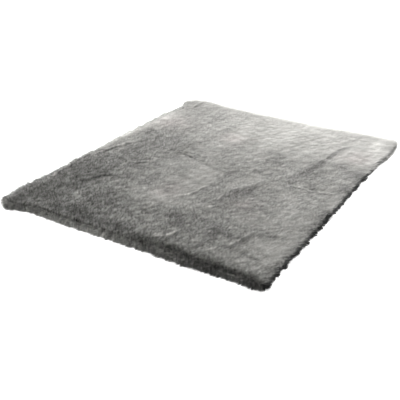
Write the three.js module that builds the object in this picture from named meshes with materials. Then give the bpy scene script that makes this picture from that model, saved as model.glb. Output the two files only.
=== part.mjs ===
// A faux-fur rug: one piece of grey plush lying flat, its backing and its pile in one closed solid.
// Millimetres, +Z up. The rug's long sides run along Y and its underside lies on z = 0.
import * as THREE from "three";

// Size of the rug over its pile, and the rounding that the pile gives its edge.
const WIDTH = 1200;
const LENGTH = 1425;
const THICKNESS = 31;
const CORNER_RADIUS = 52;
const RIM_HEIGHT = 11; // where the pile of the edge stands out furthest
const RIM_TUCK = 9; // how far the backing's edge lies behind the rim, on the floor
const RIM_SHOULDER = 28; // how far in from the rim the pile reaches its full height
const RIM_ANGLES = [-90, -45, 0, 30, 60, 90]; // steps round the edge, from the floor to the top

// Grid of the top: cells across the width and along the length.
const CELLS_X = 40;
const CELLS_Y = 48;

// Where the outline swells (out > 0) or draws in (out < 0). "at" runs along X on the front and
// back, and along Y on the left and right, from the middle of the side.
const EDGE_SWELLS = [
  { side: "front", at: -545, reach: 55, out: 26 },
  { side: "front", at: -410, reach: 45, out: -6 },
  { side: "front", at: 290, reach: 60, out: 6 },
  { side: "front", at: 595, reach: 35, out: 15 },
  { side: "right", at: 560, reach: 150, out: 14 },
  { side: "right", at: 700, reach: 35, out: 6 },
  { side: "back", at: 430, reach: 110, out: 12 },
  { side: "back", at: 160, reach: 75, out: -11 },
  { side: "back", at: -510, reach: 130, out: 33 },
  { side: "left", at: 610, reach: 130, out: -24 },
  { side: "left", at: 330, reach: 80, out: -8 },
  { side: "left", at: 20, reach: 60, out: 5 },
  { side: "left", at: -400, reach: 150, out: -7 },
];

// Soft furrows (depth > 0) and ridges (depth < 0) that folding has left in the pile, each a
// straight stretch with rounded sides.
const FOLDS = [
  { name: "cross fold, left", fromX: -255, fromY: 46, toX: -145, toY: 33, halfWidth: 18, depth: 3 },
  { name: "cross fold, bend", fromX: -145, fromY: 33, toX: -30, toY: -5, halfWidth: 18, depth: 3 },
  { name: "cross fold, middle", fromX: -30, fromY: -5, toX: 330, toY: 15, halfWidth: 24, depth: 2 },
  { name: "cross fold, right", fromX: 330, fromY: 15, toX: 455, toY: 0, halfWidth: 18, depth: 4 },
  { name: "cross fold, end", fromX: 455, fromY: 0, toX: 555, toY: 28, halfWidth: 18, depth: 4 },
  { name: "long furrow, back", fromX: 412, fromY: 522, toX: 395, toY: 330, halfWidth: 20, depth: 4 },
  { name: "long furrow, middle", fromX: 395, fromY: 330, toX: 385, toY: 230, halfWidth: 20, depth: 4 },
  { name: "long furrow, front", fromX: 385, fromY: 230, toX: 330, toY: 30, halfWidth: 24, depth: 4 },
  { name: "middle furrow, back", fromX: 90, fromY: -10, toX: 67, toY: -170, halfWidth: 22, depth: 4 },
  { name: "middle furrow, front", fromX: 67, fromY: -170, toX: 46, toY: -280, halfWidth: 22, depth: 4 },
  { name: "long ridge", fromX: 250, fromY: -35, toX: 175, toY: -190, halfWidth: 26, depth: -3 },
  { name: "furrow by the ridge", fromX: 290, fromY: -60, toX: 235, toY: -210, halfWidth: 22, depth: 3 },
  { name: "left furrow", fromX: -265, fromY: -5, toX: -310, toY: -200, halfWidth: 20, depth: 3 },
  { name: "short furrow", fromX: -305, fromY: -105, toX: -353, toY: -145, halfWidth: 18, depth: 4 },
];

// Long, low waves in the height of the pile over the whole rug.
const SWELLS = [
  { waveLength: 410, heading: 25, phase: 0.6, height: 0.7 },
  { waveLength: 290, heading: 110, phase: 2.1, height: 0.5 },
  { waveLength: 175, heading: 160, phase: 4.0, height: 0.4 },
];

const radians = THREE.MathUtils.degToRad;

// The outline is a rectangle with round corners. It is walked anticlockwise by length, from the
// middle of the front left corner, so each side runs from the middle of one corner to the next.
const HALF_ARC = (CORNER_RADIUS * Math.PI) / 4;
const SIDES = [
  { name: "front", span: WIDTH, reach: LENGTH / 2, turn: 0, forward: 1, cells: CELLS_X },
  { name: "right", span: LENGTH, reach: WIDTH / 2, turn: 90, forward: 1, cells: CELLS_Y },
  { name: "back", span: WIDTH, reach: LENGTH / 2, turn: 180, forward: -1, cells: CELLS_X },
  { name: "left", span: LENGTH, reach: WIDTH / 2, turn: 270, forward: -1, cells: CELLS_Y },
];
let perimeter = 0;
for (const side of SIDES) {
  side.start = perimeter;
  side.length = side.span - 2 * CORNER_RADIUS + 2 * HALF_ARC;
  perimeter += side.length;
}

// Total swell of the outline at a length along it: a bell curve for each row of EDGE_SWELLS.
function edgeSwell(length) {
  let out = 0;
  for (const swell of EDGE_SWELLS) {
    const side = SIDES.find((candidate) => candidate.name === swell.side);
    const centre = side.start + side.length / 2 + side.forward * swell.at;
    const direct = Math.abs(length - centre);
    const away = Math.min(direct, perimeter - direct) / swell.reach;
    out += swell.out * Math.exp(-away * away);
  }
  return out;
}

// A point of the outline on one side, "share" of the way along it, drawn in by "inset".
function outlinePoint(side, share, inset) {
  const fromMiddle = (share - 0.5) * side.length;
  const straight = side.span / 2 - CORNER_RADIUS;
  const beyond = Math.max(0, Math.abs(fromMiddle) - straight);
  const angle = (Math.sign(fromMiddle) * beyond) / CORNER_RADIUS;
  const out = CORNER_RADIUS + edgeSwell(side.start + share * side.length) - inset;
  const along = THREE.MathUtils.clamp(fromMiddle, -straight, straight) + out * Math.sin(angle);
  const across = side.reach - CORNER_RADIUS + out * Math.cos(angle);
  return new THREE.Vector2(along, -across).rotateAround(new THREE.Vector2(), radians(side.turn));
}

// Height of the pile's top: full thickness, low waves, and a bell-shaped trough along each fold.
function pileHeight(x, y) {
  let height = THICKNESS;
  for (const wave of SWELLS) {
    const travel = x * Math.cos(radians(wave.heading)) + y * Math.sin(radians(wave.heading));
    height += wave.height * Math.sin((2 * Math.PI * travel) / wave.waveLength + wave.phase);
  }
  for (const fold of FOLDS) {
    const runX = fold.toX - fold.fromX;
    const runY = fold.toY - fold.fromY;
    const along = ((x - fold.fromX) * runX + (y - fold.fromY) * runY) / (runX ** 2 + runY ** 2);
    const nearest = THREE.MathUtils.clamp(along, 0, 1);
    const away = Math.hypot(x - fold.fromX - nearest * runX, y - fold.fromY - nearest * runY);
    height -= fold.depth * Math.exp(-((away / fold.halfWidth) ** 2));
  }
  return height;
}

// One closed ring round the rug at an angle of the rim: two quarter ellipses meet at the rim,
// the lower one ending on the floor and the upper one on the top of the pile.
function rimRing(angle) {
  const rise = Math.sin(radians(angle));
  const depth = angle < 0 ? RIM_TUCK : RIM_SHOULDER;
  const inset = depth * (1 - Math.cos(radians(angle)));
  const ring = [];
  for (const side of SIDES) {
    for (let i = 0; i < side.cells; i += 1) {
      const { x, y } = outlinePoint(side, i / side.cells, inset);
      const span = angle < 0 ? RIM_HEIGHT : pileHeight(x, y) - RIM_HEIGHT;
      ring.push(new THREE.Vector3(x, y, RIM_HEIGHT + rise * span));
    }
  }
  return ring;
}

// A point inside the top ring at shares u and v across the grid, blended from the four sides:
// the mean of the two ruled surfaces between opposite sides, less the one through the corners.
function insidePoint(ring, column, row) {
  const u = column / CELLS_X;
  const v = row / CELLS_Y;
  const front = ring[column];
  const right = ring[CELLS_X + row];
  const back = ring[2 * CELLS_X + CELLS_Y - column];
  const left = ring[(2 * (CELLS_X + CELLS_Y) - row) % ring.length];
  const corners = [ring[0], ring[CELLS_X], ring[CELLS_X + CELLS_Y], ring[2 * CELLS_X + CELLS_Y]];
  const blend = (axis) =>
    (1 - v) * front[axis] + v * back[axis] + (1 - u) * left[axis] + u * right[axis]
    - (1 - u) * (1 - v) * corners[0][axis] - u * (1 - v) * corners[1][axis]
    - u * v * corners[2][axis] - (1 - u) * v * corners[3][axis];
  const x = blend("x");
  const y = blend("y");
  return new THREE.Vector3(x, y, pileHeight(x, y));
}

// The whole skin: bands between the rim's rings, a grid over the top and a flat fan below.
function rugGeometry() {
  const rings = RIM_ANGLES.map(rimRing);
  const round = rings[0].length;
  const points = rings.flat();
  const faces = [];
  for (let band = 0; band < rings.length - 1; band += 1) {
    for (let i = 0; i < round; i += 1) {
      const low = band * round + i;
      const lowNext = band * round + ((i + 1) % round);
      faces.push(low, lowNext, lowNext + round, low, lowNext + round, low + round);
    }
  }

  // Index of a grid point of the top: on the border it is the ring's own point.
  const topStart = (rings.length - 1) * round;
  const insideStart = points.length;
  const topIndex = (column, row) => {
    if (row === 0) return topStart + column;
    if (column === CELLS_X) return topStart + CELLS_X + row;
    if (row === CELLS_Y) return topStart + 2 * CELLS_X + CELLS_Y - column;
    if (column === 0) return topStart + 2 * (CELLS_X + CELLS_Y) - row;
    return insideStart + (row - 1) * (CELLS_X - 1) + column - 1;
  };
  const topRing = rings[rings.length - 1];
  for (let row = 1; row < CELLS_Y; row += 1) {
    for (let column = 1; column < CELLS_X; column += 1) points.push(insidePoint(topRing, column, row));
  }
  for (let row = 0; row < CELLS_Y; row += 1) {
    for (let column = 0; column < CELLS_X; column += 1) {
      const here = topIndex(column, row);
      const across = topIndex(column + 1, row);
      const opposite = topIndex(column + 1, row + 1);
      const above = topIndex(column, row + 1);
      faces.push(here, across, opposite, here, opposite, above);
    }
  }

  // The underside is a flat fan round its middle, wound so that it faces down.
  const hub = points.push(new THREE.Vector3()) - 1;
  for (let i = 0; i < round; i += 1) faces.push(hub, (i + 1) % round, i);

  const geometry = new THREE.BufferGeometry().setFromPoints(points);
  geometry.setIndex(faces);
  geometry.computeVertexNormals();
  return geometry;
}

const fur = new THREE.MeshStandardMaterial({ color: 0x9a9994, roughness: 0.95, metalness: 0 });

const furRug = new THREE.Mesh(rugGeometry(), fur);
furRug.name = "fur_rug";

// The uneven outline is centred, so that the origin is under the middle of the rug's box.
furRug.geometry.computeBoundingBox();
const middle = furRug.geometry.boundingBox.getCenter(new THREE.Vector3());
furRug.position.set(-middle.x, -middle.y, 0);

const rug = new THREE.Group();
rug.add(furRug);

export default rug;
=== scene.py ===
"""A grey faux-fur rug lying flat: a knitted backing under dense wool, and a deep pile of locks over
it that leans toward the rug's right side, falls over at its edges and parts along the lines where
it was folded.

Metres, +Z up, with the rug's long sides along Y. Sections follow the rug from the floor up.
"""

import math

import bpy
import numpy as np
from mathutils import Matrix, Vector


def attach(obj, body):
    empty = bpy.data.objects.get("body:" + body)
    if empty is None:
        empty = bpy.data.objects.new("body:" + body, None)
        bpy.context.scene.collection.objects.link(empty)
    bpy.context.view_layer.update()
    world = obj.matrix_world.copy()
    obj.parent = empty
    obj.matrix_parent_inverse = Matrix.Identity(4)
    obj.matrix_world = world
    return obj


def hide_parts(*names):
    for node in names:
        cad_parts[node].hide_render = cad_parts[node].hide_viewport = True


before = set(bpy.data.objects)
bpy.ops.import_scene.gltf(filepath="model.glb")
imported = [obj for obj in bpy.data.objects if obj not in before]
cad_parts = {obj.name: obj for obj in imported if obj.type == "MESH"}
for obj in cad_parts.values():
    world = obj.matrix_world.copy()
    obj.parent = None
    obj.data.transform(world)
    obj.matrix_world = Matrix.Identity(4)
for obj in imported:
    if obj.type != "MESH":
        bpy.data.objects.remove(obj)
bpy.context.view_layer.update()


# ---- Camera ----------------------------------------------
# It looks down on the rug over its front right corner, from a little above head height of a
# person sitting on the floor.
camera_place = Vector((1.3453, -2.2977, 1.2499))
camera_aim = Vector((0.0738, -0.2615, -0.0042))
camera_roll = math.radians(-0.5)
camera_lens, camera_sensor = 59.67, 36.0  # millimetres

camera_data = bpy.data.cameras.new("camera")
camera_data.lens = camera_lens
camera_data.sensor_width = camera_sensor
camera = bpy.data.objects.new("camera", camera_data)
bpy.context.scene.collection.objects.link(camera)
facing = (camera_aim - camera_place).to_track_quat("-Z", "Y").to_matrix().to_4x4()
camera.matrix_world = Matrix.Translation(camera_place) @ facing @ Matrix.Rotation(camera_roll, 4, "Z")
bpy.context.scene.camera = camera


# ---- Studio ----------------------------------------------
# A pale floor, one large soft lamp behind the rug's back right corner, a smaller one beyond its
# left side, a wide one overhead that lights only the floor, and a dim white room.
def soft_lamp(name, place, aim, width, height, power, colour):
    """A rectangular lamp of that width and height at a place, facing the aim."""
    data = bpy.data.lights.new(name, "AREA")
    data.shape = "RECTANGLE"
    data.size = width
    data.size_y = height
    data.energy = power
    data.color = colour
    lamp = bpy.data.objects.new(name, data)
    lamp.location = place
    lamp.rotation_euler = (Vector(aim) - Vector(place)).to_track_quat("-Z", "Y").to_euler()
    bpy.context.scene.collection.objects.link(lamp)
    return lamp


key_lamp = soft_lamp(
    "key_lamp", place=(0.9, 2.3, 1.25), aim=(0.1, 0.3, 0.0),
    width=2.2, height=1.0, power=153.0, colour=(1.0, 0.99, 0.982),
)
side_lamp = soft_lamp(
    "side_lamp", place=(-2.4, 1.5, 0.8), aim=(-0.5, 0.2, 0.0),
    width=2.0, height=0.8, power=55.0, colour=(1.0, 0.99, 0.97),
)
floor_lamp = soft_lamp(
    "floor_lamp", place=(0.0, 0.0, 4.0), aim=(0.0, 0.0, 0.0),
    width=7.0, height=7.0, power=420.0, colour=(1.0, 1.0, 1.0),
)

room = bpy.data.worlds.new("room")
room.use_nodes = True
room_light = room.node_tree.nodes["Background"]
room_light.inputs["Color"].default_value = (1.0, 0.995, 0.975, 1.0)
room_light.inputs["Strength"].default_value = 0.70
bpy.context.scene.world = room
bpy.context.scene.view_settings.view_transform = "Standard"
bpy.context.scene.cycles.use_denoising = True
bpy.context.scene.cycles.filter_width = 1.0

floor_mesh = bpy.data.meshes.new("floor")
floor_reach = 12.0
corners = [(-floor_reach, -floor_reach, 0), (floor_reach, -floor_reach, 0)]
corners += [(floor_reach, floor_reach, 0), (-floor_reach, floor_reach, 0)]
floor_mesh.from_pydata(corners, [], [(0, 1, 2, 3)])
floor = bpy.data.objects.new("floor", floor_mesh)
bpy.context.scene.collection.objects.link(floor)
floor_paint = bpy.data.materials.new("floor_paint")
floor_paint.use_nodes = True
floor_shader = floor_paint.node_tree.nodes["Principled BSDF"]
floor_shader.inputs["Base Color"].default_value = (0.93, 0.93, 0.93, 1.0)
floor_shader.inputs["Roughness"].default_value = 0.8
floor_mesh.materials.append(floor_paint)
lit_floor = bpy.data.collections.new("lit_by_floor_lamp")
floor_lamp.light_linking.receiver_collection = lit_floor
lit_floor.objects.link(floor)
lit_rug = bpy.data.collections.new("lit_by_key_lamp")
key_lamp.light_linking.receiver_collection = lit_rug
side_lamp.light_linking.receiver_collection = lit_rug


# ---- Ground of the rug -----------------------------------
# The knitted backing and the dense wool at the foot of the pile, one closed sheet cut to the
# rug's uneven outline. The outline is a rectangle with round corners that swells and draws in.
rug_width = 1.200
rug_length = 1.425
pile_top = 0.031
corner_radius = 0.052
cut_centre = np.array([0.0045, 0.0026])  # the middle of the uneven outline's box
front, right, back, left = range(4)  # the four sides, anticlockwise

# Each swell: side, middle of it along the side, reach along the side, and how far out it goes.
swells = [
    (front, -0.545, 0.055, 0.026),
    (front, -0.410, 0.045, -0.006),
    (front, 0.290, 0.060, 0.006),
    (front, 0.595, 0.035, 0.015),
    (right, 0.560, 0.150, 0.014),
    (right, 0.700, 0.035, 0.006),
    (back, 0.430, 0.110, 0.012),
    (back, 0.160, 0.075, -0.011),
    (back, -0.510, 0.130, 0.033),
    (left, 0.610, 0.130, -0.024),
    (left, 0.330, 0.080, -0.008),
    (left, 0.020, 0.060, 0.005),
    (left, -0.400, 0.150, -0.007),
]

# Each stretch of a fringe, where the pile thins out over the floor: side, the share of the way
# along the side where it starts, how much farther on it is full, and how deep it is. One that
# grows toward the side's start has its second share below 0.
fringes = [
    (front, 0.07, -0.05, 0.009),
    (back, 0.00, 0.10, 0.004),
    (back, 0.93, 0.07, 0.009),
    (left, 0.62, -0.10, 0.013),
    (left, 0.93, 0.05, 0.009),
]
deepest_fringe = 0.013

# Each low wave over the pile: its length, heading in degrees, phase and rise.
low_waves = [
    (0.410, 25, 0.6, 0.0007),
    (0.290, 110, 2.1, 0.0005),
    (0.175, 160, 4.0, 0.0004),
]

# Each fold: where it starts and ends, half its width and its depth. Ridges have a negative depth.
folds = [
    ((-0.255, 0.046), (-0.145, 0.033), 0.018, 0.003),
    ((-0.145, 0.033), (-0.030, -0.005), 0.018, 0.003),
    ((-0.030, -0.005), (0.330, 0.015), 0.024, 0.002),
    ((0.330, 0.015), (0.455, 0.000), 0.018, 0.004),
    ((0.455, 0.000), (0.555, 0.028), 0.018, 0.004),
    ((0.412, 0.522), (0.395, 0.330), 0.020, 0.004),
    ((0.395, 0.330), (0.385, 0.230), 0.020, 0.004),
    ((0.385, 0.230), (0.330, 0.030), 0.024, 0.002),
    ((0.090, -0.010), (0.067, -0.170), 0.022, 0.004),
    ((0.067, -0.170), (0.046, -0.280), 0.022, 0.004),
    ((0.250, -0.035), (0.175, -0.190), 0.026, -0.003),
    ((0.290, -0.060), (0.235, -0.210), 0.022, 0.003),
    ((-0.265, -0.005), (-0.310, -0.200), 0.020, 0.003),
    ((-0.305, -0.105), (-0.353, -0.145), 0.018, 0.004),
]

quarter_arc = corner_radius * math.pi / 4
side_spans = (rug_width, rug_length, rug_width, rug_length)
side_lengths = [span - 2 * corner_radius + 2 * quarter_arc for span in side_spans]
side_starts = [sum(side_lengths[:k]) for k in range(4)]
perimeter = sum(side_lengths)


def bell(*distances):
    """A bell curve, 1 in the middle: e to minus the sum of the squares of distances in reaches."""
    return np.exp(-sum(distance ** 2 for distance in distances))


def ramp(value, start, full):
    """0 at the start, rising evenly to 1 where it is full. The start may be the larger value."""
    return np.clip((value - start) / (full - start), 0, 1)


def fringe(side, share):
    """How deep the thin fringe of pile is on a side, at shares 0 to 1 of the way along it: each of
    its stretches there grows evenly and then stays full."""
    here = [row for row in fringes if row[0] == side]
    return 0 * share + sum(deep * np.clip((share - start) / run, 0, 1) for _, start, run, deep in here)


def outline(side, share, inset):
    """Points of one side of the outline, at shares 0 to 1 of the way along it anticlockwise, drawn
    in by inset, and the outward directions there. The side runs from the middle of one round
    corner to the middle of the next; a bell curve for each swell pushes it out."""
    span, length = side_spans[side], side_lengths[side]
    reach = (rug_length if side in (front, back) else rug_width) / 2
    from_middle = (share - 0.5) * length
    straight = span / 2 - corner_radius
    beyond = np.maximum(0, np.abs(from_middle) - straight)
    angle = np.sign(from_middle) * beyond / corner_radius
    walked = side_starts[side] + share * length
    out = corner_radius - inset
    for swell_side, at, swell_reach, swell_out in swells:
        runs_forward = swell_side in (front, right)
        centre = side_starts[swell_side] + side_lengths[swell_side] / 2 + (at if runs_forward else -at)
        away = np.abs(walked - centre)
        away = np.minimum(away, perimeter - away) / swell_reach
        out = out + swell_out * bell(away)
    along = np.clip(from_middle, -straight, straight) + out * np.sin(angle)
    across = -(reach - corner_radius + out * np.cos(angle))
    turn = side * math.pi / 2
    x = along * math.cos(turn) - across * math.sin(turn) - cut_centre[0]
    y = along * math.sin(turn) + across * math.cos(turn) - cut_centre[1]
    heading = turn - math.pi / 2 + angle
    return np.stack([x, y], -1), np.stack([np.cos(heading), np.sin(heading)], -1)


def spread(u, v, inset):
    """Points inside the fringe at shares u across and v along the rug, blended from its four
    sides: the two ruled surfaces between opposite sides, less the one through the corners."""
    u, v = np.asarray(u, float), np.asarray(v, float)
    at_front = outline(front, u, inset + fringe(front, u))[0]
    at_right = outline(right, v, inset)[0]
    at_back = outline(back, 1 - u, inset + fringe(back, 1 - u))[0]
    at_left = outline(left, 1 - v, inset + fringe(left, 1 - v))[0]
    ends = np.array([0.0, 1.0])
    front_left, front_right = outline(front, ends, inset + fringe(front, ends))[0]
    back_right, back_left = outline(back, ends, inset + fringe(back, ends))[0]
    u, v = u[..., None], v[..., None]
    ruled = (1 - v) * at_front + v * at_back + (1 - u) * at_left + u * at_right
    ruled = ruled - (1 - u) * (1 - v) * front_left - u * (1 - v) * front_right
    return ruled - u * v * back_right - (1 - u) * v * back_left


def line_offsets(x, y, start, end):
    """How far points lie from a straight line, and the signed distance to its left."""
    run = np.array([end[0] - start[0], end[1] - start[1]])
    along = np.clip(((x - start[0]) * run[0] + (y - start[1]) * run[1]) / (run @ run), 0, 1)
    dx, dy = x - start[0] - along * run[0], y - start[1] - along * run[1]
    side = (run[0] * dy - run[1] * dx) / math.hypot(*run)
    return np.hypot(dx, dy), side


def pile_height(x, y):
    """Height of the pile's top: full thickness, a sine for each low wave, and a bell-shaped trough
    for each fold."""
    height = np.full(np.shape(x), pile_top)
    for length, heading, phase, rise in low_waves:
        travel = x * math.cos(math.radians(heading)) + y * math.sin(math.radians(heading))
        height = height + rise * np.sin(2 * math.pi * travel / length + phase)
    for start, end, half_width, depth in folds:
        away, _ = line_offsets(x, y, start, end)
        height = height - depth * bell(away / half_width)
    return height


ground_top = 0.015  # height of the wool, under the pile
ground_rim = 0.006  # height where the wool reaches farthest out
ground_inset = 0.021  # how far inside the tips of the pile it ends there
ground_tuck = 0.004  # how far it turns in again under its rim
ground_shoulder = 0.012  # and how far over it
ground_angles = (-90, -50, -15, 15, 40, 65, 90)  # round the rim in degrees, from the floor to the top
ground_cells = (60, 72)  # across and along the rug


def new_piece(name, points, faces, smooth=True):
    """A mesh object from an array of points and an array of equal-sided faces."""
    mesh = bpy.data.meshes.new(name)
    sides = faces.shape[1]
    mesh.vertices.add(len(points))
    mesh.vertices.foreach_set("co", points.astype(np.float32).ravel())
    mesh.loops.add(faces.size)
    mesh.loops.foreach_set("vertex_index", faces.astype(np.int32).ravel())
    mesh.polygons.add(len(faces))
    mesh.polygons.foreach_set("loop_start", np.arange(0, faces.size, sides, dtype=np.int32))
    mesh.update(calc_edges=True)
    mesh.polygons.foreach_set("use_smooth", np.full(len(faces), smooth))
    mesh.validate()
    piece = bpy.data.objects.new(name, mesh)
    bpy.context.scene.collection.objects.link(piece)
    return piece


def ground_height(x, y):
    """Top of the wool: it follows the pile's top at a set depth."""
    return pile_height(x, y) - (pile_top - ground_top)


def ground_mesh(cells_x, cells_y):
    """Rings round the rim, from the floor up over the shoulder, then a grid over the top and
    another under it: all quads, closed. A ring at an angle is drawn in by 1 less its cosine."""
    shares_x, shares_y = np.arange(cells_x) / cells_x, np.arange(cells_y) / cells_y
    rings = []
    for angle in np.radians(ground_angles):
        depth = ground_tuck if angle < 0 else ground_shoulder
        inset = ground_inset + depth * (1 - math.cos(angle))
        sides = []
        for side in range(4):
            share = shares_x if side in (front, back) else shares_y
            sides.append(outline(side, share, inset + fringe(side, share))[0])
        flat = np.concatenate(sides)
        if angle < 0:
            z = ground_rim * (1 + np.sin(angle)) * np.ones(len(flat))
        else:
            z = ground_rim + (ground_height(*flat.T) - ground_rim) * math.sin(angle)
        rings.append(np.column_stack([flat, z]))
    count = len(rings[0])
    here = np.arange(count)
    following = (here + 1) % count
    faces = []
    for band in range(len(rings) - 1):
        low, high = band * count, (band + 1) * count
        faces.append(np.column_stack([low + here, low + following, high + following, high + here]))

    def grid(ring, start):
        """Index table of a grid: its border is a ring's points, the rest are new ones."""
        first = ring * count
        index = np.zeros((cells_y + 1, cells_x + 1), int)
        index[0, :] = first + np.arange(cells_x + 1)
        index[:, cells_x] = first + cells_x + np.arange(cells_y + 1)
        index[cells_y, ::-1] = first + cells_x + cells_y + np.arange(cells_x + 1)
        index[1:, 0] = first + 2 * cells_x + cells_y + cells_y - np.arange(1, cells_y + 1)
        inner = (cells_y - 1, cells_x - 1)
        index[1:-1, 1:-1] = start + np.arange(inner[0] * inner[1]).reshape(inner)
        return index

    u, v = np.meshgrid(np.arange(1, cells_x) / cells_x, np.arange(1, cells_y) / cells_y)
    inner_top = spread(u, v, ground_inset + ground_shoulder).reshape(-1, 2)
    inner_low = spread(u, v, ground_inset + ground_tuck).reshape(-1, 2)
    points = np.concatenate(rings + [
        np.column_stack([inner_top, ground_height(*inner_top.T)]),
        np.column_stack([inner_low, np.zeros(len(inner_low))]),
    ])
    start = len(rings) * count
    top = grid(len(rings) - 1, start)
    low = grid(0, start + len(inner_top))
    faces.append(np.stack([top[:-1, :-1], top[:-1, 1:], top[1:, 1:], top[1:, :-1]], -1).reshape(-1, 4))
    faces.append(np.stack([low[:-1, :-1], low[1:, :-1], low[1:, 1:], low[:-1, 1:]], -1).reshape(-1, 4))
    return points, np.concatenate(faces)


ground = new_piece("rug_ground", *ground_mesh(*ground_cells))


class Wire:
    """A shader socket. Python's operators on it, and the methods below them, add Math and Mix nodes."""

    def __init__(self, tree, socket):
        self.tree = tree
        self.socket = socket

    def node(self, kind, settings=None, values=None, output=0):
        """Adds a node of a type, sets its settings, then its sockets' values or links."""
        made = self.tree.nodes.new(kind)
        for key, value in (settings or {}).items():
            if key == "stops":
                elements = made.color_ramp.elements
                while len(elements) < len(value):
                    elements.new(0.5)
                for element, (place, colour) in zip(elements, value):
                    element.position = place
                    element.color = (*colour, 1.0)
            else:
                setattr(made, key, value)
        for key, value in (values or {}).items():
            if isinstance(value, Wire):
                self.tree.links.new(value.socket, made.inputs[key])
            else:
                made.inputs[key].default_value = value
        return Wire(self.tree, made.outputs[output])

    def maths(self, operation, first, second):
        """One sum of two values."""
        return self.node("ShaderNodeMath", {"operation": operation}, {0: first, 1: second})

    def __add__(self, other):
        return self.maths("ADD", self, other)

    __radd__ = __add__

    def __mul__(self, other):
        return self.maths("MULTIPLY", self, other)

    __rmul__ = __mul__

    def __sub__(self, other):
        return self.maths("SUBTRACT", self, other)

    def __rsub__(self, other):
        return self.maths("SUBTRACT", other, self)

    def at_least(self, lowest):
        """The larger of this and another."""
        return self.maths("MAXIMUM", self, lowest)

    def at_most(self, highest):
        """The smaller of this and another."""
        return self.maths("MINIMUM", self, highest)

    def sine(self):
        """The sine of an angle in radians."""
        return self.node("ShaderNodeMath", {"operation": "SINE"}, {0: self})

    def bell_of_square(self):
        """A bell curve of a distance whose square this is: e to minus that square."""
        return self.maths("POWER", math.e, self * -1.0)

    def mix(self, first, second):
        """A colour between two: the first where this is 0 and the second where it is 1."""
        return self.node("ShaderNodeMix", {"data_type": "RGBA"}, {0: self, 6: first, 7: second}, output=2)

    def feed(self, shader, label):
        """Links this to a socket of a shader."""
        self.tree.links.new(self.socket, shader.inputs[label])


def new_finish(name):
    """A material, a Wire to start its node tree from, its Principled shader, the place on the piece
    and that place's x, y and z."""
    finish = bpy.data.materials.new(name)
    finish.use_nodes = True
    start = Wire(finish.node_tree, None)
    place = start.node("ShaderNodeTexCoord", output="Object")
    axes = [start.node("ShaderNodeSeparateXYZ", {}, {0: place}, output=axis) for axis in range(3)]
    return finish, start, finish.node_tree.nodes["Principled BSDF"], place, axes


# The wool's near-black colours are partly painted shade of the deep pile over its own dark grey.
shaded_wool_dark, shaded_wool_pale = (0.035, 0.035, 0.033, 1), (0.09, 0.09, 0.086, 1)
knit_dark, knit_pale = (0.16, 0.155, 0.145, 1), (0.36, 0.352, 0.335, 1)
wale_pitch, row_pitch = 0.0032, 0.0024
backing_depth = (0.0002, 0.0009)  # wholly backing below the first height, wholly wool above the other


def wool_finish():
    """Matt wool, near black: its own dark grey with painted shade of the deep pile over it, with fine
    mottling between the locks, and under it a paler knitted backing: rows of stitches along X, wales across
    them, with a little slubby unevenness."""
    finish, start, shader, place, (x, y, z) = new_finish("wool")
    mottle = start.node("ShaderNodeTexNoise", {}, {"Vector": place, "Scale": 260.0, "Detail": 3.0})
    slub = start.node("ShaderNodeTexNoise", {}, {"Vector": place, "Scale": 45.0, "Detail": 2.0})
    wale = (x * (2 * math.pi / wale_pitch)).sine()
    row = (y * (2 * math.pi / row_pitch)).sine()
    stitch = 0.30 + 0.16 * wale + 0.10 * row + 0.45 * slub
    low, high = backing_depth
    under = start.node("ShaderNodeMapRange", {}, {0: z, 1: low, 2: high, 3: 1.0, 4: 0.0})
    colour = under.mix(mottle.mix(shaded_wool_dark, shaded_wool_pale), stitch.mix(knit_dark, knit_pale))
    colour.feed(shader, "Base Color")
    (0.98 - 0.12 * mottle).feed(shader, "Roughness")
    bumps = {"Strength": 0.5, "Distance": 0.0008, "Height": stitch + mottle}
    start.node("ShaderNodeBump", {}, bumps).feed(shader, "Normal")
    shader.inputs["Sheen Weight"].default_value = 0.2
    return finish


ground.data.materials.append(wool_finish())
lit_rug.objects.link(ground)
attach(ground, "root")
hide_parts("fur_rug")


# ---- Pile over the top -----------------------------------
# Thousands of fine locks of fur, knitted into the backing and standing in its wool. Each is a slim
# three-sided spike, thick at the root and drawn out to a point, and neighbours lean together into
# soft tufts. It is made in five strips, side by side across the rug.
rim_height = 0.011  # height where the pile reaches farthest out
rim_shoulders = (0.030, 0.018, 0.030, 0.030)  # how far in its rounding goes: front, right, back, left
lock_pitch = 0.0025
lock_length = 0.029
lock_radius = 0.0011
root_depth = 0.002
strip_count = 5
rng = np.random.default_rng(20)


def soft_noise(x, y, size, seed, waves=14):
    """Smooth random field between about -1 and 1: a mean of sine waves with seeded headings and
    phases, and lengths 0.7 to 1.6 times the size."""
    draw = np.random.default_rng(seed)
    field = np.zeros(np.shape(x))
    for _ in range(waves):
        heading, phase = draw.uniform(0, 2 * math.pi, 2)
        length = size * draw.uniform(0.7, 1.6)
        travel = x * math.cos(heading) + y * math.sin(heading)
        field = field + np.sin(2 * math.pi * travel / length + phase)
    return field / math.sqrt(waves / 2)


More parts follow.
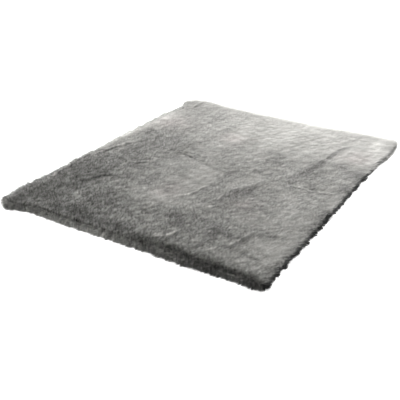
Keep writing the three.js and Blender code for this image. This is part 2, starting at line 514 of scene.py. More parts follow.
def tufts(x, y, width, length, seed):
    """For each point the nearest tuft centre, from one centre in each cell of a grid of cells of
    that width and length, moved about inside its cell, and a random number 0 to 1 for the tuft."""
    grid_span, spare_cells = 3.0, 6  # the grid is well over the rug's size and centred on it
    draw = np.random.default_rng(seed)
    across, down = x / width, y / length
    columns, rows = spare_cells + int(grid_span / width), spare_cells + int(grid_span / length)
    moves = draw.uniform(0.05, 0.95, (columns, rows, 2))
    numbers = draw.uniform(0, 1, (columns, rows))
    column = np.floor(across).astype(int) + columns // 2
    row = np.floor(down).astype(int) + rows // 2
    best = np.full(x.shape, np.inf)
    centre = np.zeros(x.shape + (2,))
    number = np.zeros(x.shape)
    for i in (-1, 0, 1):
        for j in (-1, 0, 1):
            c, r = np.clip(column + i, 0, columns - 1), np.clip(row + j, 0, rows - 1)
            centre_x = c - columns // 2 + moves[c, r, 0]
            centre_y = r - rows // 2 + moves[c, r, 1]
            gap = (centre_x - across) ** 2 + (centre_y - down) ** 2
            near = gap < best
            best = np.where(near, gap, best)
            centre[near] = np.stack([centre_x * width, centre_y * length], -1)[near]
            number = np.where(near, numbers[c, r], number)
    return centre, number


def locks(roots, tips, radius, turn):
    """Three-sided spikes: a triangle of points of that radius round each root, and the tip. Turn
    spins the triangle about the spike."""
    skew = np.array([0.31, 0.87, 0.38])  # a direction that no lock points in
    axis = tips - roots
    axis /= np.linalg.norm(axis, axis=1, keepdims=True)
    across = np.cross(axis, skew)
    across /= np.linalg.norm(across, axis=1, keepdims=True)
    beside = np.cross(axis, across)
    spin = turn[:, None] + np.arange(3) * 2 * math.pi / 3
    ring = np.cos(spin)[..., None] * across[:, None] + np.sin(spin)[..., None] * beside[:, None]
    points = np.concatenate([roots[:, None] + ring * radius[:, None, None], tips[:, None]], 1)
    faces = np.array([[0, 1, 3], [1, 2, 3], [2, 0, 3]]) + 4 * np.arange(len(roots))[:, None, None]
    return points.reshape(-1, 3), faces.reshape(-1, 3)


# Creases where the pile parts: points along each, how wide it is, and how much paler its left side is, a
# painted highlight on the lip that catches the lamp, and how much darker its right side, painted shade in the
# crease.
creases = [
    ([(0.04, -0.025), (-0.03, -0.005), (-0.145, 0.033), (-0.255, 0.046)], 0.008, 0.15, 0.20),
    ([(-0.10, 0.055), (-0.17, 0.068), (-0.25, 0.066)], 0.006, 0.15, 0.30),
    ([(0.10, -0.02), (0.18, 0.0), (0.28, 0.01)], 0.008, 0.05, 0.25),
    ([(0.37, -0.007), (0.46, -0.010), (0.488, -0.006), (0.52, 0.005)], 0.006, 0.20, 0.45),
    ([(0.40, -0.007), (0.36, 0.002), (0.33, 0.033)], 0.010, 0.05, 0.20),
    ([(0.61, -0.033), (0.567, 0.012), (0.519, 0.025)], 0.006, 0.10, 0.10),
    ([(0.315, 0.03), (0.342, 0.125), (0.362, 0.21)], 0.016, 0.04, 0.12),
    ([(0.362, 0.22), (0.380, 0.31), (0.386, 0.37), (0.396, 0.44), (0.410, 0.50)], 0.018, 0.08, 0.26),
    ([(0.337, 0.478), (0.325, 0.70)], 0.010, 0.04, 0.12),
    ([(0.019, -0.326), (0.046, -0.28), (0.067, -0.17), (0.073, -0.03), (0.09, 0.0)], 0.010, 0.17, 0.28),
    ([(0.171, -0.266), (0.177, -0.18), (0.205, -0.12), (0.241, -0.055), (0.257, -0.012)], 0.012, 0.18, 0.27),
    ([(-0.312, -0.199), (-0.264, -0.112), (-0.265, -0.005)], 0.010, 0.15, 0.32),
    ([(-0.338, -0.145), (-0.298, -0.108)], 0.008, 0.15, 0.75),
    ([(-0.426, -0.409), (-0.401, -0.365), (-0.341, -0.289)], 0.012, 0.05, 0.40),
    ([(-0.540, -0.145), (-0.530, -0.094), (-0.525, -0.056), (-0.514, -0.025)], 0.006, 0.25, 0.80),
    ([(-0.510, -0.015), (-0.500, 0.020)], 0.006, 0.20, 0.60),
    ([(-0.562, -0.42), (-0.566, -0.312), (-0.579, -0.243), (-0.573, -0.187)], 0.008, 0.25, 0.55),
    ([(-0.50, 0.60), (-0.50, 0.68)], 0.010, 0.10, 0.40),
    ([(0.113, -0.646), (0.131, -0.627), (0.158, -0.603), (0.167, -0.564)], 0.012, 0.50, 0.15),
    ([(0.378, -0.566), (0.394, -0.509), (0.408, -0.444)], 0.014, 0.20, 0.35),
]

parting_reach = 0.014  # how far from a crease its locks stay shorter
push_reach, push_turn = 0.012, 0.004  # how far off they are pushed aside, and how soon that begins
shade_left = 0.003  # how far a crease's painted shade goes on its left
glint_place, glint_reach = 0.007, 0.005  # where the painted highlight on the fur to its left lies, and its reach
nap_strength = 1.1  # lengths across for each length up
nap_heading, middle_turn = 4, -6  # degrees from +X toward +Y, and what is added in the middle


def bent(x, y):
    """Points moved by a slow noise of 3 mm, so that creases wander."""
    bend = 0.003 * soft_noise(x, y, size=0.05, seed=9)
    return x + bend, y + bend


def unevenness(x, y):
    """How strongly a crease shows from place to place: a clipped slow noise about 0.95."""
    return np.clip(0.95 + 0.30 * soft_noise(x, y, size=0.05, seed=10), 0.65, 1.3)


def crease_offsets(x, y, points):
    """Signed distance to the nearest stretch of a crease, left positive, and that stretch's left
    direction."""
    nearest = np.full(np.shape(x), np.inf)
    signed = np.zeros(np.shape(x))
    leftward = np.zeros(np.shape(x) + (2,))
    for (x0, y0), (x1, y1) in zip(points, points[1:]):
        away, side = line_offsets(x, y, (x0, y0), (x1, y1))
        near = away < nearest
        nearest = np.where(near, away, nearest)
        signed = np.where(near, np.where(side < 0, -away, away), signed)
        leftward[near] = np.array([-(y1 - y0), x1 - x0]) / math.hypot(x1 - x0, y1 - y0)
    return signed, leftward


def parting(x, y):
    """How near points are to a crease, 0 to 1, and more for a darker one: the largest of the bell
    curves of their distances."""
    x, y = bent(x, y)
    nearness = np.zeros(np.shape(x))
    for points, _, _, dark in creases:
        signed, _ = crease_offsets(x, y, points)
        nearness = np.maximum(nearness, min(1.6 * dark, 1) * bell(signed / parting_reach))
    return nearness


def nap(x, y):
    """Lean of the pile as a flat vector, in lengths across per length up: toward +X and a little
    toward +Y, with slow swirls, and pushed away from both sides of each crease."""
    middle = bell((x - 0.1) / 0.35, (y - 0.25) / 0.4)
    heading = nap_heading + middle_turn * middle
    heading = heading + 3 * soft_noise(x, y, size=0.18, seed=4) + 4 * soft_noise(x, y, size=0.04, seed=5)
    heading = np.radians(heading)
    strength = nap_strength + 0.02 * soft_noise(x, y, size=0.05, seed=7)
    lean = np.stack([strength * np.cos(heading), strength * np.sin(heading)], -1)
    uneven = unevenness(x, y)
    x, y = bent(x, y)
    for points, _, _, dark in creases:
        signed, leftward = crease_offsets(x, y, points)
        push = 1.3 * dark * uneven * bell(signed / push_reach) * np.tanh(signed / push_turn)
        lean = lean + push[..., None] * leftward
    return lean


# Marks of paler and darker fur, partly the pile's own brushed and pressed tone and partly painted light and
# shade where the lamps fall: middle x, y, reach across and along, turn of the mark in degrees and how much
# paler or darker its fur looks.
tone_and_light_marks = [
    # the dark front left quarter, darker partly with painted shade where the lamps' light falls off
    (-0.52, -0.52, 0.22, 0.34, 0, -0.36),
    (-0.40, -0.40, 0.05, 0.16, -12, -0.22),
    (-0.50, -0.31, 0.06, 0.08, 0, -0.20),
    (-0.42, -0.14, 0.08, 0.20, 0, -0.22),
    (-0.40, 0.14, 0.14, 0.12, 0, -0.19),
    (-0.32, 0.08, 0.06, 0.14, 0, -0.15),
    (-0.373, -0.30, 0.030, 0.03, 0, -0.20),
    (-0.170, -0.267, 0.030, 0.03, 0, -0.20),
    (-0.290, -0.300, 0.030, 0.03, 0, -0.18),
    # the brushed middle, pale, with painted shade in strips along its creases
    (0.00, -0.17, 0.07, 0.16, 0, 0.42),
    (-0.094, -0.19, 0.040, 0.03, 0, 0.22),
    (-0.05, -0.38, 0.14, 0.06, 0, 0.32),
    (0.130, -0.35, 0.050, 0.04, 0, 0.20),
    (0.09, -0.47, 0.07, 0.05, 0, -0.30),
    (0.28, -0.50, 0.08, 0.06, 0, -0.32),
    (-0.20, -0.50, 0.12, 0.08, 0, -0.28),
    (0.17, -0.08, 0.03, 0.09, -20, 0.18),
    (0.22, -0.18, 0.03, 0.08, -20, -0.31),
    (0.10, -0.20, 0.03, 0.14, -5, -0.18),
    (0.150, -0.018, 0.020, 0.02, 0, -0.25),
    (0.25, -0.04, 0.07, 0.05, 0, 0.26),
    # the right half: pale toward the front corner and beside the crease, with painted shade round the fold
    (0.50, -0.50, 0.08, 0.07, 0, 0.35),
    (0.40, -0.61, 0.10, 0.04, 0, 0.22),
    (0.365, -0.528, 0.030, 0.02, 0, 0.25),
    (0.459, -0.42, 0.050, 0.03, 0, -0.20),
    (0.45, -0.30, 0.12, 0.12, 0, 0.18),
    (0.353, -0.355, 0.050, 0.04, 0, 0.20),
    (0.46, 0.00, 0.12, 0.12, 0, 0.18),
    (0.395, -0.116, 0.040, 0.03, 0, 0.25),
    (0.42, 0.10, 0.13, 0.12, 0, -0.16),
    (0.37, 0.17, 0.025, 0.17, -12, -0.25),
    (0.480, 0.28, 0.040, 0.05, 0, -0.25),
    (0.510, 0.22, 0.030, 0.04, 0, -0.25),
    (0.47, 0.37, 0.05, 0.05, 0, 0.30),
    (0.20, 0.17, 0.05, 0.07, 0, -0.20),
    (0.140, 0.19, 0.050, 0.03, 0, 0.20),
    # the back, pale, partly with painted light from the lamp behind, but for two strips behind the left half
    (0.12, 0.48, 0.28, 0.26, 0, 0.24),
    (0.220, 0.48, 0.060, 0.04, 0, 0.18),
    (-0.08, 0.33, 0.05, 0.07, 0, 0.28),
    (-0.10, 0.50, 0.03, 0.12, 0, 0.15),
    (-0.17, 0.42, 0.025, 0.12, 0, -0.15),
    (-0.20, 0.10, 0.04, 0.05, 0, 0.13),
    (-0.30, 0.52, 0.06, 0.07, 0, -0.16),
    (-0.49, 0.60, 0.12, 0.14, 0, -0.18),
    (-0.53, 0.38, 0.06, 0.14, 0, 0.30),
    (-0.49, 0.21, 0.05, 0.05, 0, -0.20),
    (-0.315, 0.161, 0.030, 0.03, 0, -0.25),
    # the left edge, pale where it thins out with a painted highlight of the lamps' light through it, and
    # short strips of painted shade and highlight beside its lines
    (-0.61, 0.48, 0.030, 0.20, 0, 0.22),
    (-0.585, 0.18, 0.065, 0.12, 0, 0.55),
    (-0.605, 0.26, 0.015, 0.025, 0, -0.45),
    (-0.595, 0.55, 0.050, 0.07, 0, -0.15),
    (-0.482, 0.254, 0.020, 0.03, 0, 0.35),
    (-0.62, 0.06, 0.045, 0.10, 0, 0.80),
    (-0.615, -0.05, 0.030, 0.06, 0, 0.50),
    (-0.560, -0.16, 0.020, 0.03, 0, 0.35),
    (-0.506, -0.08, 0.013, 0.07, -12, 0.30),
    (-0.478, 0.02, 0.014, 0.04, -20, 0.22),
    (-0.556, -0.44, 0.012, 0.10, 5, 0.35),
    (-0.566, -0.29, 0.012, 0.08, 0, 0.30),
    (-0.588, -0.43, 0.012, 0.05, 0, -0.35),
    # the front edge, with painted shade along its shoulder, and the pale tip of its left corner, a painted
    # highlight
    (-0.615, -0.740, 0.045, 0.035, 0, 1.60),
    (-0.520, -0.678, 0.035, 0.03, 0, -0.50),
    (-0.333, -0.650, 0.050, 0.024, 0, -0.45),
    (-0.23, -0.63, 0.12, 0.045, 0, -0.42),
    (-0.210, -0.668, 0.080, 0.024, 0, -0.42),
    (-0.100, -0.655, 0.060, 0.024, 0, -0.45),
    (-0.030, -0.645, 0.050, 0.020, 0, -0.28),
    (-0.570, -0.600, 0.060, 0.06, 0, -0.24),
    (0.00, -0.64, 0.10, 0.05, 0, -0.25),
    (0.35, -0.705, 0.22, 0.025, 0, -0.35),
    # the right edge: a painted highlight where the pile falls over it behind, painted shade in hollows
    # farther forward
    (0.57, 0.50, 0.05, 0.17, 0, 0.42),
    (0.530, 0.60, 0.030, 0.07, 0, 0.15),
    (0.535, 0.36, 0.030, 0.03, 0, 0.12),
    (0.605, 0.62, 0.035, 0.09, 0, -0.30),
    (0.568, 0.23, 0.028, 0.055, 0, -0.56),
    (0.575, 0.07, 0.025, 0.035, 0, -0.48),
    (0.598, 0.05, 0.018, 0.13, 0, -0.26),
    (0.589, -0.10, 0.020, 0.03, 0, 0.60),
    (0.585, -0.23, 0.022, 0.14, 0, -0.16),
    (0.588, -0.215, 0.018, 0.022, 0, -0.28),
    (0.585, -0.303, 0.018, 0.022, 0, -0.28),
    (0.584, -0.441, 0.018, 0.022, 0, -0.24),
    (0.586, -0.045, 0.020, 0.040, 0, 0.25),
    (0.585, -0.370, 0.030, 0.050, 0, 0.14),
    (0.554, -0.257, 0.020, 0.04, 0, 0.30),
    (0.555, -0.40, 0.030, 0.08, 0, 0.16),
    (0.605, -0.40, 0.013, 0.35, 0, -0.38),
    (0.55, -0.55, 0.03, 0.12, 0, 0.20),
    (0.607, -0.60, 0.022, 0.10, 0, -0.36),
]


def patches(x, y):
    """Tone of the patches with their painted light and shade: 1, times a bell-shaped change for each mark."""
    tone = np.ones(np.shape(x))
    for mark_x, mark_y, across, along, turn, change in tone_and_light_marks:
        cosine, sine = math.cos(math.radians(turn)), math.sin(math.radians(turn))
        dx, dy = x - mark_x, y - mark_y
        shape = bell((cosine * dx + sine * dy) / across, (cosine * dy - sine * dx) / along)
        tone = tone * (1 + change * shape)
    return tone


ruffled_middle = 0.80  # how ruffled the pile stands in the middle of the rug
ruffled_slopes = (-0.34, -0.75)  # and how that changes for each metre along X and along Y
ruffled_range = (0.08, 1.7)


def roughness_of_pile(x, y):
    """How ruffled the pile stands: a slope, more toward the front left, then more round one spot and less
    round another, and more where its patches are darker than where they are paler."""
    ruffled = ruffled_middle + ruffled_slopes[0] * x + ruffled_slopes[1] * y
    ruffled = ruffled + 0.30 * bell((x - 0.35) / 0.22, (y - 0.05) / 0.22)
    ruffled = ruffled * (1 - 0.30 * bell((x + 0.05) / 0.18, (y + 0.12) / 0.18))
    return np.clip(ruffled * (1 - 1.6 * (patches(x, y) - 1)), *ruffled_range)


brushed_way = math.radians(42)  # the way the rug was last brushed, from +X toward +Y
brushed_change, cloud_change, combed_change = 0.055, 0.045, 0.09  # paler and darker by so much
parting_shade_change, hollow_shade_change = 0.26, 0.30  # painted shade: darker by so much in the partings and in the hollows


def brush_way(x, y):
    """How far points lie along and across the way the rug was last brushed: arrays or Wires."""
    cosine, sine = math.cos(brushed_way), math.sin(brushed_way)
    return x * cosine + y * sine, y * cosine - x * sine


def fur_tone_and_shading(x, y):
    """Tone of the fur with its painted light and shade: that of its patches, painted shade to the right of
    each crease and a painted highlight to its left, with faint brushed streaks and clouds, thin broken
    partings between them darkened with painted shade, and combed streaks and hollows by the right edge
    darkened with painted shade. Streaks are a noise squeezed along their length."""
    tone = patches(x, y)
    uneven = unevenness(x, y)
    bent_x, bent_y = bent(x, y)
    # painted shade to the right of each crease and a painted highlight to its left
    for points, width, pale, dark in creases:
        signed, _ = crease_offsets(bent_x, bent_y, points)
        shade = uneven * bell(signed / np.where(signed < 0, width, shade_left))
        tone = tone * (1 - dark * shade) * (1 + pale * bell((signed - glint_place) / glint_reach))
    stroke, beside = brush_way(x, y)
    brushed = soft_noise(0.32 * stroke, beside, size=0.026, seed=15)
    brushed = brushed + 0.7 * soft_noise(0.32 * stroke, beside, size=0.013, seed=19)
    calm = np.clip(0.25 + 0.75 * roughness_of_pile(x, y), 0, 1.1)
    clouds = soft_noise(0.5 * stroke, beside, size=0.060, seed=22)
    wave = soft_noise(0.45 * stroke, beside, size=0.045, seed=16)
    parting_shade = bell(wave / 0.16) * np.clip(soft_noise(x, y, size=0.09, seed=17), 0, 1)
    near_right = ramp(x + 0.07 * ramp(y, 0.25, 0.35), 0.55, 0.60)
    combed = soft_noise(0.12 * x, y, size=0.011, seed=24) * near_right
    by_edge = ramp(x, 0.560, 0.585) * ramp(y, 0.33, 0.25)
    hollow_shade = np.clip(soft_noise(0.6 * x, y, size=0.055, seed=26), 0, 1) * by_edge
    tone = tone * (1 + brushed_change * calm * brushed + cloud_change * clouds + combed_change * combed)
    # painted shade in the partings and in the hollows by the right edge
    return tone * (1 - parting_shade_change * parting_shade) * (1 - hollow_shade_change * hollow_shade)


# Where the pile falls over the edges: front, right, back, left.
outward = np.array([[0.0, -1.0], [1.0, 0.0], [0.0, 1.0], [-1.0, 0.0]])
fall_reach = (0.012, 0.004, 0.008, 0.006)  # how far in from each edge the pile falls outward
fall_blend = (0.009, 0.012, 0.010, 0.008)  # how gradually that begins
fall_spread, fall_swerve = 0.009, 0.15  # how unevenly it begins, and how far the locks stray
front_swell = (0.16, 0.30, 0.042)  # it begins farther in about this x: the x, reach and distance
right_swell = (0.005, 0.009)  # and farther in along the right edge, and farther still at its back end
fall_stretch = (0.32, 0.28)  # how much longer the falling locks are, and what the back end adds
fall_short = (0.003, 0.004, -0.003, -0.008)  # how far the tips stop short of the outline
tooth_depths = (0.010, 0.018, 0.010, 0.010)  # how deep small tufts make the edge uneven
lobe_depths = (0.0, 0.020, 0.0, 0.018)  # and large ones
top_inset = ground_inset + 0.6 * ground_shoulder
right_overhang = (0.002, 0.004)  # how far the right edge's tips may pass it; the back end adds more
lean_spread = (0.02, 0.16)  # random lean of brushed pile, and what being ruffled adds
tip_spread = (0.0002, 0.0007)  # random height of the tips, in the same way
length_spread = (-0.15, 0.10)  # random change of a ruffled lock's length
parted_reach = 0.65  # how much of its reach sideways a lock in a crease loses

# Each size of tuft on top: its width and length, how far its locks gather toward its middle each
# way, and its seed.
top_tufts = [
    (0.060, 0.0220, (0.03, 0.05), 12),
    (0.013, 0.0065, (0.10, 0.16), 11),
]


def side_fringes(u, v):
    """Depth of the fringe of each side at shares u across and v along the rug."""
    return np.stack([fringe(front, u), fringe(right, v), fringe(back, 1 - u), fringe(left, 1 - v)], -1)


def fallen(lean, x, back_end, gaps):
    """Lean near the edges, turned outward by a smooth step of the distance from each side, and how
    far each lock falls, 0 to 1. The pile falls from farther in near the front edge's middle and at
    the right edge's back end."""
    stretch = np.zeros(len(x))
    for side in range(4):
        reach = fall_reach[side] + rng.normal(0, fall_spread, len(x))
        if side == front:
            swell_x, swell_reach, swell_in = front_swell
            reach = reach + swell_in * bell((x - swell_x) / swell_reach)
        if side == right:
            reach = reach + right_swell[0] + right_swell[1] * back_end
        fall = 1 / (1 + np.exp((gaps[:, side] - reach) / fall_blend[side]))
        if side == front:
            fall = fall * np.maximum(ramp(x, -0.12, 0.18), 0.1)
        stretch = np.maximum(stretch, fall)
        swerve = fall_swerve * rng.normal(0, 1, (len(x), 2))
        lean = lean * (1 - fall[:, None]) + fall[:, None] * (outward[side] + swerve)
    return lean, stretch


def top_locks():
    """Roots on a jittered grid over the wool's top. Tips lean with the nap, fall outward near the
    edges, gather toward their tufts and end on the pile's rounded top. Also how far across the rug
    each lock is, as a share of its width."""
    columns, rows = int(rug_width / lock_pitch), int(rug_length / lock_pitch)
    u, v = np.meshgrid((np.arange(columns) + 0.5) / columns, (np.arange(rows) + 0.5) / rows)
    u = (u + rng.uniform(-0.5, 0.5, u.shape) / columns).ravel()
    v = (v + rng.uniform(-0.5, 0.5, v.shape) / rows).ravel()
    flat = spread(u, v, top_inset)
    x, y = flat.T
    gaps = np.stack([v * rug_length, (1 - u) * rug_width, (1 - v) * rug_length, u * rug_width], -1)
    thin = side_fringes(u, v) * (1 - rng.uniform(0, 1, (len(u), 1)) ** 3)
    back_end = ramp(v, 0.66, 0.76)
    ruffled = roughness_of_pile(x, y)
    stray = (lean_spread[0] + lean_spread[1] * ruffled)[:, None] * rng.normal(0, 1, (len(x), 2))
    lean, stretch = fallen(nap(x, y) + stray, x, back_end, gaps)

    # The length left over once a lock has risen to the top of the pile carries its tip sideways.
    ragged = np.clip(0.4 + 0.6 * ruffled, 0, 1) * rng.uniform(*length_spread, len(x))
    length = lock_length * (1 + 0.01 * soft_noise(x, y, size=0.03, seed=8)) * (1 + ragged)
    length = length * (1 + (fall_stretch[0] + fall_stretch[1] * back_end) * stretch)
    rise = pile_top - ground_top
    sideways = np.sqrt(np.maximum(length ** 2 - rise ** 2, 0)) / np.maximum(np.hypot(*lean.T), 1.0)
    shift = lean * (sideways * (0.95 - 0.12 * np.clip(ruffled, 0, 1) * (1 - stretch)))[:, None]
    tips = flat + shift * (1 - parted_reach * parting(*(flat + 0.3 * shift).T))[:, None]
    wander = 0.003 * soft_noise(x, y, size=0.02, seed=6)
    for width, tall, pull, seed in top_tufts:
        centre, _ = tufts(tips[:, 0] + wander, tips[:, 1], width, tall, seed)
        tips = tips + np.minimum(ruffled, 1)[:, None] * np.array(pull) * (centre - tips)

    # Tips that reach past the outline are drawn back to it, unevenly.
    _, tooth = tufts(tips[:, 0] + wander, tips[:, 1] + wander, width=0.014, length=0.014, seed=13)
    _, lobe = tufts(tips[:, 0] + wander, tips[:, 1] + 2 * wander, width=0.040, length=0.034, seed=18)
    gaps = gaps + top_inset + side_fringes(u, v)
    for side in range(4):
        limit = fall_short[side] + thin[:, side]
        limit = limit + tooth_depths[side] * (tooth - 0.5) + lobe_depths[side] * (lobe - 0.5)
        if side == right:
            limit = limit - right_overhang[0] - right_overhang[1] * back_end
        past = np.maximum(0, limit - (gaps[:, side] - (tips - flat) @ outward[side]))
        tips = tips - past[:, None] * outward[side]
    tip_gap = np.min((gaps - (tips - flat) @ outward.T) / np.array(rim_shoulders), 1)
    shoulder = np.sqrt(1 - (1 - np.clip(tip_gap, 0, 1)) ** 2)
    height = rim_height + (pile_height(*tips.T) - rim_height) * shoulder
    height = height + (tip_spread[0] + tip_spread[1] * ruffled) * rng.normal(0, 1, len(x))
    roots = np.column_stack([flat, ground_height(x, y) - root_depth])
    return roots, np.column_stack([tips, height]), u


# Thin lines where the pile is parted to its dark foot, painted on the fur: points along each, half its width,
# how much darker it is, the foot's own dark colour and painted shade in the parting, and how much paler the
# fur to its left, a painted highlight where it catches the lamp.
thin_lines = [
    ([(-0.238, 0.058), (-0.167, 0.041), (-0.116, 0.019)], 0.0050, 0.35, 0.14),
    ([(-0.24, 0.0), (-0.155, 0.023), (-0.069, -0.006), (-0.026, -0.018), (0.028, -0.022)], 0.005, 0.30, 0.10),
    ([(0.36, -0.008), (0.40, -0.008), (0.46, -0.012), (0.488, -0.007), (0.52, 0.004)], 0.0055, 0.60, 0.14),
    ([(0.366, 0.24), (0.386, 0.36), (0.396, 0.44), (0.404, 0.49)], 0.0075, 0.24, 0.04),
    ([(-0.358, -0.172), (-0.330, -0.137), (-0.294, -0.108)], 0.0050, 0.66, 0.12),
    ([(-0.305, -0.228), (-0.262, -0.118), (-0.222, -0.004)], 0.0042, 0.30, 0.16),
    ([(-0.540, -0.145), (-0.530, -0.094), (-0.525, -0.056), (-0.514, -0.025)], 0.0044, 0.72, 0.18),
    ([(-0.508, -0.012), (-0.494, 0.022)], 0.0042, 0.55, 0.10),
    ([(-0.562, -0.42), (-0.566, -0.312), (-0.579, -0.243), (-0.573, -0.187)], 0.0044, 0.62, 0.25),
    ([(-0.412, -0.43), (-0.403, -0.348), (-0.366, -0.326), (-0.347, -0.303)], 0.0050, 0.35, 0.06),
    ([(0.024, -0.333), (0.044, -0.290), (0.062, -0.194), (0.075, -0.151)], 0.0038, 0.25, 0.18),
    ([(0.194, -0.21), (0.225, -0.179), (0.243, -0.129)], 0.0045, 0.35, 0.10),
    ([(0.113, -0.646), (0.131, -0.627), (0.158, -0.603), (0.167, -0.564)], 0.0045, 0.20, 0.40),
]


# Patches where the fur is very faintly pinker: middle x, y and reach.
warm_patches = [
    (-0.46, 0.35, 0.09),
    (-0.09, 0.31, 0.06),
    (0.50, 0.39, 0.07),
    (-0.06, -0.30, 0.06),
    (0.27, -0.26, 0.06),
]


def line_shade(x, y, start_point, end_point, away, half_width):
    """1 on a straight line between two points, moved sideways to the left by the distance away,
    falling to 0 beyond its half width: a bell curve of the distance from the line."""
    (x0, y0), (x1, y1) = start_point, end_point
    length = math.hypot(x1 - x0, y1 - y0)
    run_x, run_y = (x1 - x0) / length, (y1 - y0) / length
    along = (x - x0) * run_x + (y - y0) * run_y
    past = (along - length).at_least(0.0) + (along * -1.0).at_least(0.0)
    side = (y - y0) * run_x - (x - x0) * run_y - away
    return ((side * side + past * past) * (1 / half_width ** 2)).bell_of_square()


# The colour of a lock: how far along it, and the colour there. The near-black root is painted shade deep in
# the pile.
fur_stops_with_root_shade = [(0.0, (0.135, 0.132, 0.121)), (0.45, (0.315, 0.313, 0.298)), (1.0, (0.47, 0.468, 0.452))]
grain_counts = (140.0, 95.0)  # blotches of the grain in a metre, along the last stroke and beside it
streak_counts = (22.0, 62.0)
grain_change, streak_change = 0.31, 0.20
palest_mottle = 1.45
warm_red, warm_blue = 0.035, 0.01  # how much redder and bluer a warm patch is
fur_sheen = 0.3


def fur_finish(name, sheen):
    """Grey fur, near black at the root, where that is painted shade deep in the pile, and pale at the tip,
    with fine mottling, brushed streaks and the thin lines where it parts, painted shade with a painted
    highlight beside each. Sheen is how much light the tips of the hairs scatter."""
    finish, start, shader, _, (x, y, _) = new_finish(name)
    labels = ("along", "tone", "ruffled")
    along, tone, ruffled = (
        start.node("ShaderNodeAttribute", {"attribute_name": label}, output="Fac") for label in labels
    )
    shade = start.node("ShaderNodeValToRGB", {"stops": fur_stops_with_root_shade}, {0: along})
    stroke, beside = brush_way(x, y)

    def mottling(counts):
        """Noise between about -1 and 1, with so many blotches in a metre each way."""
        drawn = start.node("ShaderNodeCombineXYZ", {}, {0: stroke * counts[0], 1: beside * counts[1]})
        values = {"Vector": drawn, "Scale": 1.0, "Detail": 1.0, "Roughness": 0.6}
        noise = start.node("ShaderNodeTexNoise", {"noise_dimensions": "2D"}, values)
        ends = {0: noise, 1: 0.3, 2: 0.7, 3: -1.0, 4: 1.0}
        return start.node("ShaderNodeMapRange", {"clamp": False}, ends)

    streak = mottling(streak_counts)
    mottled = 1.0 + ruffled * (grain_change * mottling(grain_counts) + streak_change * streak)
    # the tone attribute holds the fur's own tone together with its painted light and shade
    value = tone * mottled.at_most(palest_mottle)
    # painted shade along each thin line and a painted highlight to its left
    for points, width, dark, pale in thin_lines:
        for start_point, end_point in zip(points, points[1:]):
            value = value * (1.0 - dark * line_shade(x, y, start_point, end_point, 0.0, width))
            value = value * (1.0 + pale * line_shade(x, y, start_point, end_point, 2.2 * width, width))
    warmth = 0.0 * x
    for centre_x, centre_y, reach in warm_patches:
        square = (x - centre_x) * (x - centre_x) + (y - centre_y) * (y - centre_y)
        warmth = warmth + (square * (1 / reach ** 2)).bell_of_square()
    tints = {0: value * (1.0 + warm_red * warmth), 1: value, 2: value * (1.0 + warm_blue * warmth)}
    tint = start.node("ShaderNodeCombineColor", {}, tints)
    multiply = {"data_type": "RGBA", "blend_type": "MULTIPLY"}
    start.node("ShaderNodeMix", multiply, {0: 1.0, 6: shade, 7: tint}, output=2).feed(shader, "Base Color")
    (0.66 - 0.07 * along + 0.04 * streak).feed(shader, "Roughness")
    shader.inputs["Sheen Weight"].default_value = sheen
    shader.inputs["Specular IOR Level"].default_value = 0.3
    return finish


fur = fur_finish("fur", fur_sheen)


def pile_piece(name, finish, roots, tips, tone, pale, ruffled):
    """One mesh of locks with its finish: how far along the lock each point lies, the roots starting at pale
    so that their painted root shade is lifted, its tone with painted light and shade and how ruffled it is,
    and a flat map with one small square cell for each lock, root to tip."""
    count = len(roots)
    radius = lock_radius * rng.uniform(0.8, 1.2, count)
    piece = new_piece(name, *locks(roots, tips, radius, rng.uniform(0, 2 * math.pi, count)))
    along = np.column_stack([pale, pale, pale, np.ones(count)]).ravel()
    told = {"along": along, "tone": np.repeat(tone, 4), "ruffled": np.repeat(ruffled, 4)}
    for label, values in told.items():
        attribute = piece.data.attributes.new(label, "FLOAT", "POINT")
        attribute.data.foreach_set("value", values.astype(np.float32))
    cells = math.ceil(math.sqrt(count))
    number = np.repeat(np.arange(count), 3)
    column, line = (number % cells)[:, None], (number // cells)[:, None]
    corner_u, corner_v = np.array([0.1, 0.9, 0.5]), np.array([0.1, 0.1, 0.9])
    flat_map = np.stack([(column + corner_u) / cells, (line + corner_v) / cells], -1)
    layer = piece.data.uv_layers.new(name="OFBake")
    layer.data.foreach_set("uv", flat_map.astype(np.float32).ravel())
    piece.data.materials.append(finish)
    lit_rug.objects.link(piece)
    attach(piece, "root")


palest_lock, darkest_lock = 1.85, 0.15  # tones
usual_root = 0.67  # the mean of the square root of a random number
fine_change, strand_change, lock_change = 0.60, 0.35, 0.12  # by small tufts, long ones and locks

roots, tips, u = top_locks()
x, y = tips[:, 0], tips[:, 1]
ruffled = roughness_of_pile(x, y)
stroke, beside = brush_way(x, y)
_, fine = tufts(stroke, beside, width=0.0065, length=0.0060, seed=14)
_, strand = tufts(stroke, beside, width=0.030, length=0.0080, seed=23)
speckle = fine_change * (np.sqrt(fine) - usual_root) + strand_change * (np.sqrt(strand) - usual_root)
speckle = speckle + rng.normal(0, lock_change, len(u))
tone = np.clip(fur_tone_and_shading(x, y) * (1 + ruffled * speckle), darkest_lock, palest_lock)
strip = np.clip((u * strip_count).astype(int), 0, strip_count - 1)
for k in range(strip_count):
    here = strip == k
    # the top pile's roots keep their full painted shade
    shaded_roots = np.zeros(here.sum())
    pile_piece(f"pile_{k + 1}", fur, roots[here], tips[here], tone[here], shaded_roots, ruffled[here])


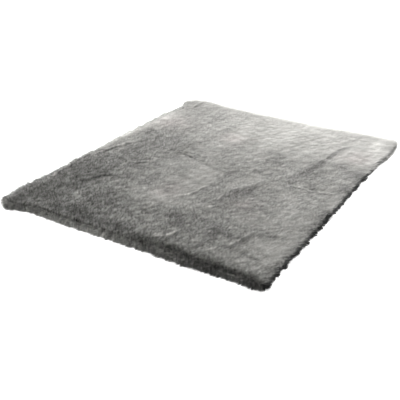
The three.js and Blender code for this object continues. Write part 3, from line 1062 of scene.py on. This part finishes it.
# ---- Pile round the rim ----------------------------------
# The same fur where the rug's edge turns under: locks rooted in the side of the wool, from the floor to its
# shoulder. They hang over it in small ragged tufts, darkened with painted shade and a duller, shaded copy of
# the fur's finish.
rim_pitch, rim_rows = 0.0022, 16
root_angles = (-62, 78)  # degrees round the wool's rim, from near the floor to near its shoulder
lowest_tip = -74  # degrees
rim_turn = 0.022  # distance round the rim for each radian
hang = (8, 34)  # degrees that a tip hangs below its root
rim_gather = 0.6  # how far the locks of a tuft gather toward its middle
rim_ragged = 0.012  # how deep the tufts make the rim uneven
longest_fray = 0.011
rim_root_depth = 0.001
lowest_height = 0.0012  # of a tip, over the floor
back_inset = 0.003  # how much farther in the right side's back end lies
# how far thin fringe lifts the painted shade at the rim's roots, where light gets round them
palest_root = 0.8
# sheen of the shaded copy of the fur, lowered so the rim looks darker: painted shade
shaded_sheen = 0.06

# How the four sides differ: front, right, back, left.
rim_tuck = (0.008, 0.004, 0.008, 0.008)  # how far the pile turns in again under its rim
# painted light and shade of each side's rim against the fur over it, darkest on the right, which faces away
# from the lamps
rim_painted_shading = (1.08, 0.10, 0.76, 0.90)
rim_fray = (0.0040, 0.0012, 0.0050, 0.0100)  # how far single locks stand out
rim_lobes = (0.0, 0.0025, 0.0020, 0.0050)  # how deep slow waves make it uneven
rim_insets = (0.003, 0.003, -0.003, -0.003)  # how far inside the outline it lies

# How the front rim's painted light and shade change along it, darkest toward the right where the band lies in
# the lamps' shade: x and tone.
front_painted_shading = [(-0.5, 1.0), (-0.2, 1.15), (0.0, 1.1), (0.2, 0.62), (0.4, 0.50), (0.5, 0.42)]


def rim_shade(side, back_end, walk, number, x, z):
    """Tone of the rim's locks against that of the fur over them, most of it painted light and shade: each
    tuft has its own. The front follows its table, the back and left sides get painted shade near the floor,
    and the right side, in painted shade, has paler lumps of painted highlight where it is raised and is paler
    at its back end, where it catches the lamp."""
    tone = rim_painted_shading[side] * (0.75 + 0.5 * number)
    if side == front:
        tone = tone * np.interp(x, *zip(*front_painted_shading))
    if side in (back, left):
        tone = tone * (0.30 + 0.70 * ramp(z, 0.010, 0.022))
    if side == right:
        raised = ramp(z - 0.004 * back_end, 0.012, 0.026) ** 1.5
        lumps = np.clip(0.85 + 0.75 * soft_noise(walk, 0.3 * walk, size=0.045, seed=25), 0.15, 1.7)
        tone = tone * (1 - 0.5 * back_end) + (0.50 * lumps + 0.55 * back_end) * (0.5 + number) * raised
    return tone


def rim_locks():
    """Roots round the wool's rim from the floor to its shoulder, tips a little lower down on the pile's
    rounded rim, gathered into small ragged tufts. Also each lock's tone with its painted light and shade, and
    how pale it is at its root, where thin fringe lifts the painted root shade."""
    roots, tips, tones_and_shading, pales = [], [], [], []
    for side in range(4):
        length = side_lengths[side]
        columns = int(length / rim_pitch)
        shares = (np.arange(columns) + 0.5) / columns
        share, angle = np.meshgrid(shares, np.radians(np.linspace(*root_angles, rim_rows)))
        share = np.clip(share + rng.uniform(-0.5, 0.5, share.shape) / columns, 0, 1).ravel()
        angle = (angle + np.radians(rng.uniform(-5, 5, angle.shape))).ravel()
        thin = fringe(side, share)
        depth = np.where(angle < 0, ground_tuck, ground_shoulder)
        flat, heading = outline(side, share, ground_inset + thin + depth * (1 - np.cos(angle)))
        low = ground_rim * (1 + np.sin(angle))
        high = ground_rim + (ground_height(*flat.T) - ground_rim) * np.sin(angle)
        roots.append(np.column_stack([flat - rim_root_depth * heading, np.where(angle < 0, low, high)]))

        # The tips hang below their roots and gather sideways into tufts.
        walk = share * length + rng.normal(0, 0.004, len(angle))
        drop = rim_turn * (angle - np.radians(rng.uniform(*hang, len(angle))))
        centre, number = tufts(walk, drop + 0.3 * walk, width=0.012, length=0.024, seed=50 + side)
        walk = walk + rim_gather * (centre[:, 0] - walk)
        tip_angle = np.maximum(drop / rim_turn, np.radians(lowest_tip))
        depth = np.where(tip_angle < 0, rim_tuck[side], rim_shoulders[side])
        fray = np.minimum(rim_fray[side] * np.abs(rng.normal(0, 1, len(angle))), longest_fray)
        inset = depth * (1 - np.cos(tip_angle)) + rim_insets[side] + rim_ragged * (number - 0.5) - fray
        inset = inset + thin * (1 - rng.uniform(0, 1, len(angle)) ** 3)
        inset = inset + rim_lobes[side] * soft_noise(walk, 0.3 * walk, size=0.050, seed=21)
        back_end = ramp(share, 0.66, 0.74) if side == right else 0.0
        flat, _ = outline(side, np.clip(walk / length, 0, 1), inset + back_inset * back_end)
        span = np.where(tip_angle < 0, rim_height, pile_height(*flat.T) - rim_height)
        z = np.maximum(rim_height + span * np.sin(tip_angle), lowest_height)
        tips.append(np.column_stack([flat, z]))
        tones_and_shading.append(rim_shade(side, back_end, walk, number, flat[:, 0], z) * fur_tone_and_shading(*flat.T))
        pales.append(palest_root * ramp(thin, 0, deepest_fringe))
    return tuple(np.concatenate(parts) for parts in (roots, tips, tones_and_shading, pales))


shaded_fur = fur_finish("shaded_fur", shaded_sheen)  # a shaded copy of the fur with less sheen, so the rim looks darker: painted shade
roots, tips, tone, pale = rim_locks()
tone = np.minimum(tone * rng.uniform(0.7, 1.3, len(tone)), palest_lock)
pile_piece("pile_rim", shaded_fur, roots, tips, tone, pale, np.ones(len(tone)))
